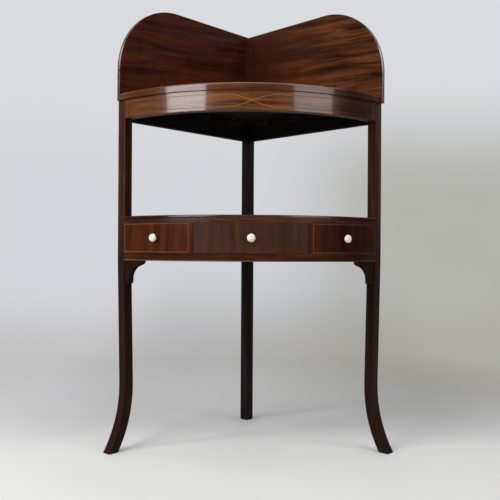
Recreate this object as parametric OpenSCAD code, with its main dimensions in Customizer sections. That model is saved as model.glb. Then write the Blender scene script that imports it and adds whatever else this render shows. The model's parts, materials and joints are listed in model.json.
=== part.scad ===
// Bow-front corner washstand: three legs, a middle case with one drawer, a slab top with splashbacks.
// The plan is a quarter circle with its centre in the corner of the room. Sizes are millimetres.
// "along" is the distance out along a wall from the corner, "in" is the distance in from that wall.

/* [Plan and heights] */
// Length of the stand along each wall, which is the radius of the bow front
wall_len = 428; // [380:1:480]
// Height of the underside of the middle case
case_z = 433; // [360:1:520]
// Height of the middle case, its shelf included
case_h = 100; // [80:1:140]
// Clear height between the shelf and the rails under the top
open_h = 219; // [150:1:320]
// Height of the rails and the bow frieze under the top
frieze_h = 45.5; // [35:0.5:80]

/* [Legs] */
// Width of a front leg, measured in from the wall
leg_w = 23.5; // [20:0.5:36]
// Thickness of a front leg, measured along the wall
leg_t = 21.8; // [20:0.2:34]
// Side of the square back leg
back_leg = 23.8; // [20:0.1:36]
// Height at which a front leg starts to sweep out to its foot
knee_z = 165; // [110:1:240]
// How far a front leg leans in between the case and the knee
leg_lean = 6; // [0:0.5:12]
// How far the foot stands out past the leg above it
foot_kick = 37; // [10:1:60]
// How much thicker the foot is than the leg
foot_flare = 3; // [0:0.5:8]
// How much the foot's sweep gathers towards the floor
foot_sharp = 2.3; // [1.5:0.1:3.5]

/* [Top] */
// Thickness of the top at its edge
top_t = 15.5; // [12:0.5:30]
// How far the top's edge stands out past the frieze
top_over = 4; // [1:0.5:12]
// Width of the wooden edge round the slab
edge_w = 20; // [19:1:45]
// Radius of the rounded arris of the top's edge
edge_r = 4; // [1:0.5:6]
// Thickness of the board under the slab
sub_t = 5.5; // [4:0.5:8]
// Height of the splashbacks above the top
splash_h = 222.5; // [180:0.5:280]
// Thickness of a splashback
splash_t = 9.5; // [8:0.5:14]
// Radius of the big round corner of a splashback
splash_r = 170; // [60:1:178]
// How far the left splashback stands out past the leg
splash_over = 3.5; // [0:0.5:6]
// How much further the right splashback stands out, which butts against the left one
splash_lap = 4; // [0:0.5:9]
// Side of the fillet strip in the angle of the splashbacks
fillet_w = 8.5; // [6:0.5:16]
// Depth of the hollow in the fillet strip's face
fillet_hollow = 0.6; // [0.3:0.1:1.2]
// Gap between the slab and the strip in the splashbacks' angle
fillet_gap = 0.3; // [0.2:0.1:1]

/* [Frieze and rails] */
// Thickness of the bow frieze
frieze_t = 21; // [16:0.5:24]
// How much higher the frieze's lower edge is than the straight rails'
frieze_lift = 3; // [0:0.5:8]
// Thickness of the case rails that follow the bow
bow_t = 18; // [14:0.5:24]
// Thickness of the straight rails under the top
rail_t = 16; // [12:0.5:22]
// Thickness of the back boards of the case
back_t = 12; // [10:0.5:18]
// How far the straight rails and back boards stand in from the wall
wall_gap = 2; // [1:0.5:6]
// Thickness of the tenons
tenon_t = 6; // [4:0.5:8]
// Length of the tenons
tenon_l = 10; // [6:0.5:11]
// Shoulder above and below a tenon
tenon_step = 2.5; // [1:0.5:3]
// Shoulder between a straight tenon and the outer face of its rail
tenon_set = 2; // [1:0.5:3]
// Shoulder between a bow rail's tenon and the rail's back face
tenon_back = 3; // [1:0.5:5]

/* [Middle case] */
// Thickness of the shelf board
shelf_t = 7.5; // [6:0.5:14]
// How far the shelf's edge stands out past the bow
shelf_over = 1.5; // [0.5:0.5:6]
// Height of the rail over the drawer
top_rail_h = 9.5; // [8:0.5:18]
// Height of the rail under the drawer
low_rail_h = 18; // [14:0.5:30]
// Height of the light bead along the bottom of the case
bead_h = 2.4; // [1.6:0.2:6]
// Depth of the rebate that holds the bead
bead_d = 3; // [2:0.5:5]
// How far the bead stands out past the bow
bead_proud = 0.8; // [0.2:0.1:1.5]
// Gap behind the bead in its rebate
bead_gap = 0.3; // [0.2:0.1:0.6]
// Thickness of the bottom board
floor_t = 8; // [6:0.5:12]
// Width of the drawer opening
open_w = 246; // [180:1:300]
// Width of the muntins beside the drawer
muntin_w = 10; // [8:0.5:20]
// Thickness of the dummy drawer fronts
dummy_t = 12; // [11:0.5:14]
// Width of a drawer stop
stop_w = 26; // [15:1:40]
// Depth of a drawer stop, front to back
stop_d = 10; // [6:1:16]
// Height of the drawer stops
stop_h = 3; // [2:0.5:3]
// Distance of the left drawer stop from the middle
stop_left = 80; // [55:1:95]
// Distance of the right drawer stop from the middle
stop_right = 67; // [55:1:95]
// Gap between the drawer's front and its stops
stop_gap = 0.3; // [0.2:0.1:1]

/* [Brackets] */
// Width of a bracket along the underside of the case
bracket_w = 52; // [40:1:90]
// Height of a bracket down the leg
bracket_h = 53; // [40:1:90]
// Thickness of a bracket
bracket_t = 14; // [8:0.5:18]
// Radius of the big hollow in a bracket
bracket_hollow = 34; // [25:1:60]
// Wood left between the hollow and the case
bracket_top = 10; // [6:0.5:14]
// Wood left between the hollow and the leg
bracket_side = 13.5; // [8:0.5:20]
// Radius of the small round at the tip of a bracket
bracket_nib = 9.5; // [5:0.5:12]
// Radius of the round at the foot of a bracket
bracket_foot = 7; // [3:0.5:8]
// How far a bracket stands back from the bow
bracket_back = 2; // [0.5:0.5:4]

/* [Drawer] */
// Length of the drawer's sides
drawer_l = 193; // [140:1:210]
// Thickness of the drawer's front
front_t = 14; // [12:0.5:18]
// Thickness of the drawer's sides and back
side_t = 7; // [5:0.5:10]
// Thickness of the drawer's bottom
bottom_t = 4.5; // [3:0.5:7]
// Height of the bottom above the drawer's lower edge
bottom_up = 4; // [3.5:0.5:8]
// How much lower than the front the sides are
side_drop = 3; // [1:0.5:10]
// How much lower than the sides the back is
back_drop = 2; // [0.5:0.5:8]
// Depth of the grooves that hold the bottom
groove_d = 3; // [2:0.5:4]
// Number of dovetails on each corner of the drawer
tail_n = 3; // [2:1:5]
// Length of the lapped dovetails in the drawer's front
tail_l = 9; // [6:0.5:10]
// Drawer's running gap at its sides
drawer_gap = 0.8; // [0.4:0.1:2]
// Drawer's running gap below
drawer_lift = 0.3; // [0.2:0.1:1]
// Gap over the drawer's front
drawer_head = 0.5; // [0.3:0.1:2]

/* [Knobs] */
// Diameter of a knob
knob_d = 18; // [14:0.5:30]
// How far a knob stands out
knob_l = 13.5; // [12:0.5:28]
// Height of a knob's rounded head
knob_head = 6; // [4:0.5:8]
// Diameter of a knob's neck
neck_d = 6.5; // [6:0.5:12]
// Diameter of the collar at a knob's foot
collar_d = 9; // [8:0.5:18]
// Height of the collar at a knob's foot
collar_h = 1; // [0.6:0.2:4]
// Diameter of a knob's peg
peg_d = 5.5; // [4:0.5:6]
// Length of a knob's peg
peg_l = 9; // [6:0.5:10]
// How far round the bow the dummy knobs are, in degrees
knob_turn = 29.4; // [26:0.2:34]

/* [Inlay and small parts] */
// Width of the inlaid lines
line_w = 1.4; // [0.8:0.1:2.5]
// Depth of the inlaid lines
line_d = 1; // [0.6:0.1:2]
// Distance of the frieze's upper inlaid line from its top edge
frieze_line_in = 9; // [6:0.5:14]
// Distance of the frieze's lower inlaid line from its lower edge
frieze_line_up = 6.5; // [4:0.5:12]
// Distance of the frieze's inlaid lines from the legs
frieze_line_end = 6; // [3:0.5:20]
// Distance of a dummy front's inlaid line from its edges
panel_line_in = 1; // [0.5:0.5:12]
// Half width of the crossing in the middle of the frieze
cross_w = 56; // [30:1:90]
// Side of the glue blocks
block_w = 12; // [8:0.5:18]
// Length of the glue blocks
block_l = 42; // [25:1:60]
// Diameter of the dowels under the splashbacks
dowel_d = 5; // [4:0.5:6]
// Length of the dowels under the splashbacks
dowel_l = 20; // [12:1:40]
// Clearance in glued joints
fit = 0.1; // [0.05:0.05:0.3]

/* [Hidden] */
$fn = 64;
BOW_FN = 720;
HOLLOW_FN = 256;
BIG = 1.5 * (wall_len + case_h + case_z);
CUT = 1;

MAHOGANY = [0.36, 0.15, 0.09];
DARK = [0.20, 0.09, 0.06];
PINE = [0.62, 0.49, 0.33];
BOXWOOD = [0.83, 0.62, 0.34];
BONE = [0.93, 0.90, 0.82];
MARBLE = [0.88, 0.87, 0.84];

shelf_z = case_z + case_h;
rail_z = shelf_z + open_h;
board_z = rail_z + frieze_h;
top_z = board_z + top_t;
splash_z = top_z + splash_h;
frieze_z = rail_z + frieze_lift;
bow_frieze_h = board_z - frieze_z;

// the corner of the room, set so that the origin is in the middle of the floor area
corner_y = (wall_len + knob_l) / 2;

// middle case, from the bottom up
low_rail_top = case_z + low_rail_h;
shelf_under = shelf_z - shelf_t;
top_rail_z = shelf_under - top_rail_h;
case_floor_z = low_rail_top - floor_t;
back_in = wall_gap + back_t;
mid_z = (low_rail_top + top_rail_z) / 2;
half_open = open_w / 2;
half_case = half_open + muntin_w;

// drawer, from the bottom up
drawer_z = low_rail_top + drawer_lift;
drawer_half = half_open - drawer_gap;
front_h = top_rail_z - drawer_head - drawer_z;
side_h = front_h - side_drop;
bottom_z = drawer_z + bottom_up;
// front corner of the drawer on the bow, and the inside of its front
function bow_y(r, x) = -sqrt(r * r - x * x);
nose_y = bow_y(wall_len, drawer_half);
inner_y = bow_y(wall_len - front_t, drawer_half);
rear_y = nose_y + drawer_l;
// front corner of a front leg, along the wall
arris = sqrt(wall_len * wall_len - leg_w * leg_w);
tenon_in = wall_gap + tenon_set;
slab_r = wall_len + top_over - edge_w;

// ---------- places ----------

// x and y are measured from the corner of the room, the front is towards -y
module from_corner() translate([0, corner_y, 0]) children();

// x runs out along the left wall and y runs in from it
module from_left_wall() from_corner() rotate([0, 0, -135]) children();

module mirrored() mirror([1, 0, 0]) children();

// the corner between the two walls, drawn in from both by the distance d
module quadrant(d, z, h) translate([d, d, z]) cube([BIG, BIG, h]);

// a disc round the corner
module disc(r, z, h) translate([0, 0, z]) cylinder(r = r, h = h, $fn = BOW_FN);

// a bow-shaped bar between the two radii, drawn in from both walls by the distance d
module bow(r_in, r_out, z, h, d) {
    intersection() {
        difference() {
            disc(r_out, z, h);
            disc(r_in, z - CUT, h + 2 * CUT);
        }
        quadrant(d, z - CUT, h + 2 * CUT);
    }
}

// the part of the stand between the two distances from the middle, on the left
module left_strip(x_in, x_out) {
    translate([-x_out, -BIG, 0]) cube([x_out - x_in, BIG, BIG]);
}

module in_left_strip(x_in, x_out) {
    intersection() {
        rotate([0, 0, -135]) children();
        left_strip(x_in, x_out);
    }
}

// ---------- legs ----------

// how far the outer face of a front leg stands out from the stile, at height z
function leg_out(z) =
    z >= case_z ? 0 :
    -leg_lean * (case_z - z) / (case_z - knee_z)
    + (z < knee_z ? foot_sweep * pow(1 - z / knee_z, foot_sharp) : 0);
function leg_thick(z) = leg_t + (z < knee_z ? foot_flare * pow(1 - z / knee_z, 2) : 0);
foot_sweep = foot_kick + leg_lean * case_z / (case_z - knee_z);
SWEEP_N = 22;

module leg_profile() {
    low = [for (i = [0 : SWEEP_N]) knee_z * i / SWEEP_N];
    levels = concat(low, [case_z, board_z]);
    n = len(levels) - 1;
    outer = [for (i = [0 : n]) [wall_len + leg_out(levels[i]), levels[i]]];
    inner = [for (i = [n : -1 : 0]) [wall_len + leg_out(levels[i]) - leg_thick(levels[i]), levels[i]]];
    polygon(concat(outer, inner));
}

module leg_blank() {
    intersection() {
        translate([0, leg_w, 0]) rotate([90, 0, 0]) linear_extrude(leg_w) leg_profile();
        union() {
            disc(wall_len, knee_z, BIG);
            cube([BIG, BIG, knee_z]);
        }
    }
}

// tenon on the end of a bow rail of thickness t, let into a front leg with g of room round it
module bow_tenon(z, h, t, g) {
    translate([wall_len - t + tenon_back - g, leg_w - tenon_l - g, z + tenon_step - g])
        cube([tenon_t + 2 * g, tenon_l + g, h - 2 * tenon_step + 2 * g]);
}

// tenons on the two ends of a straight rail along the left wall
module wall_tenons(z, h, g) {
    for (a = [back_leg - tenon_l, wall_len - leg_t])
        translate([a - g, tenon_in - g, z + tenon_step - g])
            cube([tenon_l + 2 * g, tenon_t + 2 * g, h - 2 * tenon_step + 2 * g]);
}

// square rebate along the front arris of a leg, in section
module arris_rebate(over) {
    translate([arris - line_w, leg_w - line_w]) square([line_w + over, line_w + over]);
}

module leg_front() {
    from_left_wall() difference() {
        leg_blank();
        bow_tenon(frieze_z, bow_frieze_h, frieze_t, fit);
        bow_tenon(top_rail_z, top_rail_h, bow_t, fit);
        bow_tenon(case_z, low_rail_h, bow_t, fit);
        wall_tenons(rail_z, frieze_h, fit);
        wall_tenons(case_z, shelf_under - case_z, fit);
        translate([0, 0, shelf_z]) linear_extrude(frieze_z - shelf_z) arris_rebate(CUT);
    }
}

module leg_front_left() {
    color(MAHOGANY) leg_front();
}

module leg_front_right() {
    color(MAHOGANY) mirrored() leg_front();
}

module leg_back() {
    color(DARK) difference() {
        from_left_wall() cube([back_leg, back_leg, board_z]);
        from_left_wall() wall_tenons(rail_z, frieze_h, fit);
        from_left_wall() wall_tenons(case_z, shelf_under - case_z, fit);
        mirrored() from_left_wall() wall_tenons(rail_z, frieze_h, fit);
        mirrored() from_left_wall() wall_tenons(case_z, shelf_under - case_z, fit);
    }
}

module leg_stringing() {
    from_left_wall() translate([0, 0, shelf_z]) linear_extrude(frieze_z - shelf_z) arris_rebate(0);
}

module leg_stringing_left() {
    color(BOXWOOD) leg_stringing();
}

module leg_stringing_right() {
    color(BOXWOOD) mirrored() leg_stringing();
}

// ---------- frieze and rails ----------

line_top = board_z - frieze_line_in;
line_low = frieze_z + frieze_line_up;
line_rise = (line_top - line_low) / 2;
line_end = (arris - leg_w) / sqrt(2) - frieze_line_end;
CROSS_N = 12;

// height of an inlaid line above the crossing: level, then a wave through the crossing
function line_wave(x) = line_rise * (abs(x) < cross_w ? sin(90 * x / cross_w) : sign(x));

module frieze_pattern() {
    bend = [for (i = [-CROSS_N : CROSS_N]) cross_w * i / CROSS_N];
    xs = concat([-line_end], bend, [line_end]);
    last = len(xs) - 1;
    for (way = [-1, 1]) {
        upper = [for (x = xs) [x, way * line_wave(x) + line_w / 2]];
        lower = [for (i = [last : -1 : 0]) [xs[i], way * line_wave(xs[i]) - line_w / 2]];
        polygon(concat(upper, lower));
    }
    for (side = [-1, 1])
        translate([side * line_end - line_w / 2, -line_rise - line_w / 2])
            square([line_w, 2 * line_rise + line_w]);
}

// the outermost layer of the bow, as deep as the inlay
module inlay_layer(z, h) {
    difference() {
        disc(wall_len, z, h);
        disc(wall_len - line_d, z - CUT, h + 2 * CUT);
    }
}

module frieze_lines() {
    from_corner() intersection() {
        translate([0, 0, line_low + line_rise]) rotate([90, 0, 0]) linear_extrude(BIG) frieze_pattern();
        inlay_layer(frieze_z, bow_frieze_h);
    }
}

module frieze_front() {
    color(MAHOGANY) difference() {
        union() {
            from_left_wall() bow(wall_len - frieze_t, wall_len, frieze_z, bow_frieze_h, leg_w);
            from_left_wall() bow_tenon(frieze_z, bow_frieze_h, frieze_t, 0);
            mirrored() from_left_wall() bow_tenon(frieze_z, bow_frieze_h, frieze_t, 0);
        }
        frieze_lines();
    }
}

module frieze_stringing() {
    color(BOXWOOD) frieze_lines();
}

// straight rail along the left wall, from the back leg to the front leg
module wall_rail(z, h, t) {
    from_left_wall() {
        translate([back_leg, wall_gap, z]) cube([wall_len - leg_t - back_leg, t, h]);
        intersection() {
            wall_tenons(z, h, 0);
            translate([0, 0, z]) cube([wall_len, leg_w, h]);
        }
    }
}

DOWEL_AT = [0.2, 0.5, 0.8];

module dowel_row(d, l, start) {
    from_left_wall() for (k = DOWEL_AT)
        translate([start + k * (wall_len - start - leg_t), splash_t / 2 + wall_gap / 2, board_z - l / 2])
            cylinder(d = d, h = l);
}

module frieze_rail() {
    difference() {
        wall_rail(rail_z, frieze_h, rail_t);
        dowel_row(dowel_d + 2 * fit, dowel_l + 2 * fit, back_leg);
    }
}

module frieze_rail_left() {
    color(DARK) frieze_rail();
}

module frieze_rail_right() {
    color(DARK) mirrored() frieze_rail();
}

BLOCK_AT = [0.13, 0.4, 0.63];

module wall_blocks() {
    from_left_wall() for (k = BLOCK_AT)
        translate([k * wall_len, wall_gap + rail_t, board_z - block_w])
            cube([block_l, block_w, block_w]);
}

module frieze_glue_blocks() {
    color(PINE) {
        wall_blocks();
        mirrored() wall_blocks();
    }
}

// ---------- top ----------

// outline of the wooden edge in section, with its rounded arris
module edge_section() {
    r_out = wall_len + top_over;
    difference() {
        translate([slab_r, board_z]) square([edge_w, top_t]);
        difference() {
            translate([r_out - edge_r, top_z - edge_r]) square(edge_r + CUT);
            translate([r_out - edge_r, top_z - edge_r]) circle(edge_r);
        }
    }
}

module top_edge() {
    color(MAHOGANY) from_left_wall() intersection() {
        rotate_extrude($fn = BOW_FN) edge_section();
        quadrant(splash_t, board_z - CUT, top_t + 2 * CUT);
    }
}

slab_z = board_z + sub_t;

module top_board() {
    color(MAHOGANY) from_left_wall() intersection() {
        disc(slab_r - fit, board_z, sub_t);
        quadrant(splash_t, board_z - CUT, sub_t + 2 * CUT);
    }
}

module marble_slab() {
    notch = fillet_w + fillet_gap + CUT;
    color(MARBLE) from_left_wall() difference() {
        intersection() {
            disc(slab_r - fit, slab_z, top_z - slab_z);
            quadrant(splash_t, board_z, top_t + CUT);
        }
        translate([splash_t, splash_t, board_z]) linear_extrude(top_t + CUT)
            polygon([[-CUT, -CUT], [notch, -CUT], [-CUT, notch]]);
    }
}

// outline of a splashback that stands out past the leg by the distance over, along the wall and up
module splash_outline(start, over) {
    end = wall_len + over;
    r = min(splash_r, splash_z - board_z - top_t);
    difference() {
        translate([start, board_z]) square([end - start, splash_z - board_z]);
        difference() {
            translate([end - r, splash_z - r]) square(r + CUT);
            translate([end - r, splash_z - r]) circle(r, $fn = BOW_FN);
        }
    }
}

module splashback(start, over) {
    difference() {
        from_left_wall() translate([0, splash_t, 0]) rotate([90, 0, 0])
            linear_extrude(splash_t) splash_outline(start, over);
        dowel_row(dowel_d + 2 * fit, dowel_l + 2 * fit, back_leg);
    }
}

module splashback_left() {
    color(MAHOGANY) splashback(0, splash_over);
}

module splashback_right() {
    color(MAHOGANY) mirrored() splashback(splash_t, splash_over + splash_lap);
}

module splashback_dowels() {
    color(PINE) {
        dowel_row(dowel_d, dowel_l, back_leg);
        mirrored() dowel_row(dowel_d, dowel_l, back_leg);
    }
}

// strip with a hollow face in the angle of the two splashbacks
module splashback_fillet() {
    h = splash_z - slab_z;
    // circle through the two edges of the face, hollowed to its depth
    hollow_r = (fillet_w * fillet_w / 2 + fillet_hollow * fillet_hollow) / (2 * fillet_hollow);
    centre = (fillet_w / sqrt(2) - fillet_hollow + hollow_r) / sqrt(2);
    color(DARK) from_left_wall() translate([splash_t, splash_t, slab_z]) difference() {
        linear_extrude(h) polygon([[0, 0], [fillet_w, 0], [0, fillet_w]]);
        translate([centre, centre, -CUT]) cylinder(r = hollow_r, h = h + 2 * CUT, $fn = HOLLOW_FN);
    }
}

// ---------- middle case ----------

// room for the three legs in a board
module leg_notches(z, h) {
    cube([back_leg + fit, back_leg + fit, BIG]);
    translate([wall_len - leg_t - fit, 0, z - CUT]) cube([BIG, leg_w + fit, h + 2 * CUT]);
    translate([0, wall_len - leg_t - fit, z - CUT]) cube([leg_w + fit, BIG, h + 2 * CUT]);
}

module shelf_section() {
    r_out = wall_len + shelf_over;
    nose = shelf_t / 2;
    translate([0, shelf_under]) square([r_out - nose, shelf_t]);
    translate([r_out - nose, shelf_under + nose]) circle(nose);
}

module shelf_board() {
    color(MAHOGANY) from_left_wall() difference() {
        intersection() {
            rotate_extrude($fn = BOW_FN) intersection() {
                shelf_section();
                translate([0, shelf_under]) square([BIG, shelf_t]);
            }
            quadrant(wall_gap, shelf_under - CUT, shelf_t + 2 * CUT);
        }
        leg_notches(shelf_under, shelf_t);
    }
}

// rail that follows the bow from leg to leg, with a tenon at each end
module bow_rail(z, h) {
    from_left_wall() bow(wall_len - bow_t, wall_len, z, h, leg_w);
    from_left_wall() bow_tenon(z, h, bow_t, 0);
    mirrored() from_left_wall() bow_tenon(z, h, bow_t, 0);
}

module case_top_rail() {
    color(MAHOGANY) bow_rail(top_rail_z, top_rail_h);
}

module case_bottom_rail() {
    color(MAHOGANY) difference() {
        bow_rail(case_z, low_rail_h);
        from_left_wall() difference() {
            disc(wall_len + CUT, case_z - CUT, bead_h + CUT);
            disc(wall_len - bead_d - bead_gap, case_z - 2 * CUT, bead_h + 4 * CUT);
        }
    }
}

module case_bead() {
    round_r = bead_h / 2;
    color(BOXWOOD) from_left_wall() intersection() {
        rotate_extrude($fn = BOW_FN) {
            translate([wall_len - bead_d, case_z])
                square([bead_d + bead_proud - round_r, bead_h]);
            translate([wall_len + bead_proud - round_r, case_z + round_r]) circle(round_r);
        }
        quadrant(leg_w, case_z - CUT, bead_h + 2 * CUT);
    }
}

module case_bottom_board() {
    color(PINE) from_left_wall() difference() {
        intersection() {
            disc(wall_len - bow_t - fit, case_floor_z, floor_t);
            quadrant(back_in, case_floor_z - CUT, floor_t + 2 * CUT);
        }
        leg_notches(case_floor_z, floor_t);
    }
}

module case_back_left() {
    color(DARK) wall_rail(case_z, shelf_under - case_z, back_t);
}

module case_back_right() {
    color(DARK) mirrored() wall_rail(case_z, shelf_under - case_z, back_t);
}

module muntin() {
    from_corner() in_left_strip(half_open, half_case)
        bow(wall_len - bow_t, wall_len, low_rail_top, top_rail_z - low_rail_top, leg_w);
}

module muntin_left() {
    color(MAHOGANY) muntin();
}

module muntin_right() {
    color(MAHOGANY) mirrored() muntin();
}

// inlaid rectangle round a dummy front, seen from the front
module panel_lines() {
    x_in = half_case + panel_line_in;
    x_out = (arris - leg_w) / sqrt(2) - panel_line_in;
    z_low = low_rail_top + panel_line_in;
    z_high = top_rail_z - panel_line_in;
    from_corner() intersection() {
        rotate([90, 0, 0]) linear_extrude(BIG) difference() {
            translate([-x_out, z_low]) square([x_out - x_in, z_high - z_low]);
            translate([-x_out + line_w, z_low + line_w])
                square([x_out - x_in - 2 * line_w, z_high - z_low - 2 * line_w]);
        }
        inlay_layer(case_z, case_h);
    }
}

// turns what points up so that it points out of the bow, at a height and an angle from the middle
module on_bow(turn, z) {
    from_corner() rotate([0, 0, turn]) translate([0, -wall_len, z]) rotate([90, 0, 0]) children();
}

module peg_hole(turn) {
    on_bow(turn, mid_z) translate([0, 0, -peg_l - fit])
        cylinder(d = peg_d + 2 * fit, h = peg_l + fit + CUT);
}

module dummy_front() {
    difference() {
        from_corner() in_left_strip(half_case, wall_len)
            bow(wall_len - dummy_t, wall_len, low_rail_top, top_rail_z - low_rail_top, leg_w);
        panel_lines();
        peg_hole(-knob_turn);
    }
}

module dummy_front_left() {
    color(MAHOGANY) dummy_front();
}

module dummy_front_right() {
    color(MAHOGANY) mirrored() dummy_front();
}

module case_stringing() {
    color(BOXWOOD) {
        panel_lines();
        mirrored() panel_lines();
    }
}

module drawer_guide() {
    from_corner() in_left_strip(half_open, half_case) intersection() {
        disc(wall_len - bow_t - fit, low_rail_top, shelf_under - low_rail_top);
        quadrant(back_in, low_rail_top, case_h);
    }
}

module drawer_guide_left() {
    color(PINE) drawer_guide();
}

module drawer_guide_right() {
    color(PINE) mirrored() drawer_guide();
}

module drawer_kicker() {
    from_corner() in_left_strip(half_open - muntin_w, half_open) intersection() {
        disc(wall_len - bow_t - fit, top_rail_z, top_rail_h);
        quadrant(back_in, top_rail_z - CUT, top_rail_h + 2 * CUT);
    }
}

module drawer_kickers() {
    color(PINE) {
        drawer_kicker();
        mirrored() drawer_kicker();
    }
}

module drawer_stops() {
    r_out = wall_len - front_t - stop_gap;
    color(PINE) from_corner() for (x = [-stop_left, stop_right]) intersection() {
        rotate([0, 0, -135]) bow(r_out - stop_d, r_out, low_rail_top, stop_h, 0);
        translate([x - stop_w / 2, -BIG, 0]) cube([stop_w, BIG, BIG]);
    }
}

// ---------- brackets ----------

// outline of a bracket: across from the leg, down from the case
module bracket_outline() {
    tip = bracket_w - bracket_nib;
    hollow_y = bracket_top + bracket_hollow;
    intersection() {
        square([bracket_w, bracket_h]);
        union() {
            difference() {
                union() {
                    square([tip, hollow_y]);
                    square([bracket_side, bracket_h - bracket_foot]);
                    square([bracket_side - bracket_foot, bracket_h]);
                    translate([bracket_side - bracket_foot, bracket_h - bracket_foot]) circle(bracket_foot);
                }
                translate([bracket_side + bracket_hollow, hollow_y]) circle(bracket_hollow);
            }
            translate([tip, 0]) circle(bracket_nib);
        }
    }
}

module bracket() {
    from_left_wall() intersection() {
        translate([0, leg_w, case_z]) rotate([0, -90, 180]) mirror([0, 1, 0]) rotate([0, 0, 90])
            linear_extrude(BIG) bracket_outline();
        bow(wall_len - bracket_back - bracket_t, wall_len - bracket_back, case_z - bracket_h, bracket_h, 0);
    }
}

module bracket_left() {
    color(MAHOGANY) bracket();
}

module bracket_right() {
    color(MAHOGANY) mirrored() bracket();
}

// ---------- knobs ----------

HEAD_N = 12;
FLARE_N = 6;

// turned profile: collar, thin neck that flares under the head, rounded head
module knob_profile() {
    head_z = knob_l - knob_head;
    flare_h = head_z - 2 * collar_h;
    head = [for (i = [0 : HEAD_N])
        [knob_d / 2 * cos(90 * i / HEAD_N), head_z + knob_head * sin(90 * i / HEAD_N)]];
    flare = [for (i = [0 : FLARE_N - 1])
        [neck_d / 2 + (knob_d - neck_d) / 2 * (1 - cos(90 * i / FLARE_N)),
         head_z - flare_h * (1 - sin(90 * i / FLARE_N))]];
    polygon(concat([[0, 0], [collar_d / 2, 0], [collar_d / 2, collar_h]], flare, head));
}

module knob(turn) {
    on_bow(turn, mid_z) {
        rotate_extrude() knob_profile();
        translate([0, 0, -peg_l]) cylinder(d = peg_d, h = peg_l + collar_h);
    }
}

module dummy_knob_left() {
    color(BONE) knob(-knob_turn);
}

module dummy_knob_right() {
    color(BONE) knob(knob_turn);
}

module drawer_knob() {
    color(BONE) knob(0);
}

// ---------- drawer ----------

tail_pitch = side_h / tail_n;
TAIL_SHARE = 0.62;
TAIL_SLOPE = 6;
TAIL_ROOT = 5;

// one row of dovetails, seen along x: they run from their root at y = 0 to y = -l and widen by the slope
module tails(l, z0, pitch, n, g) {
    for (i = [0 : n - 1]) {
        half_root = pitch * TAIL_SHARE / 2 - l / TAIL_SLOPE;
        half_end = pitch * TAIL_SHARE / 2;
        translate([0, 0, z0 + pitch * (i + 0.5)]) rotate([0, -90, 0]) mirror([1, 0, 0])
            linear_extrude(side_t + g)
                polygon([
                    [-half_root - g, TAIL_ROOT], [half_root + g, TAIL_ROOT], [half_root + g, 0],
                    [half_end + g, -l - g], [-half_end - g, -l - g], [-half_root - g, 0]
                ]);
    }
}

// the left side's tails at the front, placed on the drawer
module front_tails(g) {
    from_corner() translate([-drawer_half + side_t + g, inner_y, 0])
        tails(tail_l, drawer_z, tail_pitch, tail_n, g);
}

// the left side's tails at the back, which go right through the back board
back_h = side_h - bottom_up - bottom_t - back_drop;
back_z = bottom_z + bottom_t + fit;

module rear_tails(g) {
    from_corner() translate([-drawer_half + side_t + g, rear_y - side_t, 0]) mirror([0, 1, 0])
        tails(side_t, back_z, back_h / tail_n, tail_n, g);
}

module drawer_bottom_blank(g) {
    half = drawer_half - side_t + groove_d;
    r = wall_len - front_t + groove_d;
    from_corner() intersection() {
        disc(r + g, bottom_z - g, bottom_t + 2 * g);
        translate([-half - g, -BIG, 0]) cube([2 * (half + g), BIG + rear_y, BIG]);
    }
}

module drawer_front() {
    color(MAHOGANY) difference() {
        intersection() {
            from_left_wall() bow(wall_len - front_t, wall_len, drawer_z, front_h, 0);
            from_corner() translate([-drawer_half, -BIG, 0]) cube([2 * drawer_half, BIG, BIG]);
        }
        front_tails(fit);
        mirrored() front_tails(fit);
        drawer_bottom_blank(fit);
        peg_hole(0);
    }
}

module drawer_side() {
    difference() {
        union() {
            from_corner() intersection() {
                translate([-drawer_half, -BIG, drawer_z])
                    cube([side_t, BIG + rear_y - side_t, side_h]);
                disc(wall_len - front_t - fit, drawer_z, side_h);
            }
            front_tails(0);
            rear_tails(0);
        }
        drawer_bottom_blank(fit);
    }
}

module drawer_side_left() {
    color(PINE) drawer_side();
}

module drawer_side_right() {
    color(PINE) mirrored() drawer_side();
}

module drawer_back() {
    color(PINE) difference() {
        from_corner() translate([-drawer_half, rear_y - side_t, back_z])
            cube([2 * drawer_half, side_t, back_h]);
        rear_tails(fit);
        mirrored() rear_tails(fit);
    }
}

module drawer_bottom() {
    color(PINE) drawer_bottom_blank(0);
}

// ---------- the whole stand ----------

leg_front_left();
leg_front_right();
leg_back();
frieze_front();
frieze_stringing();
frieze_rail_left();
frieze_rail_right();
frieze_glue_blocks();
top_board();
top_edge();
marble_slab();
splashback_left();
splashback_right();
splashback_fillet();
splashback_dowels();
shelf_board();
case_top_rail();
case_bottom_rail();
case_bead();
case_bottom_board();
case_back_left();
case_back_right();
muntin_left();
muntin_right();
dummy_front_left();
dummy_front_right();
case_stringing();
dummy_knob_left();
dummy_knob_right();
drawer_guide_left();
drawer_guide_right();
drawer_kickers();
drawer_stops();
bracket_left();
bracket_right();
leg_stringing_left();
leg_stringing_right();
drawer_front();
drawer_side_left();
drawer_side_right();
drawer_back();
drawer_bottom();
drawer_knob();
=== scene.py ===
"""Looks of a bow-front corner washstand: polished mahogany, boxwood lines, bone knobs and a marble slab."""

import json
import math
from collections import namedtuple

import bmesh
import bpy
from mathutils import Matrix, Vector


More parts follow.
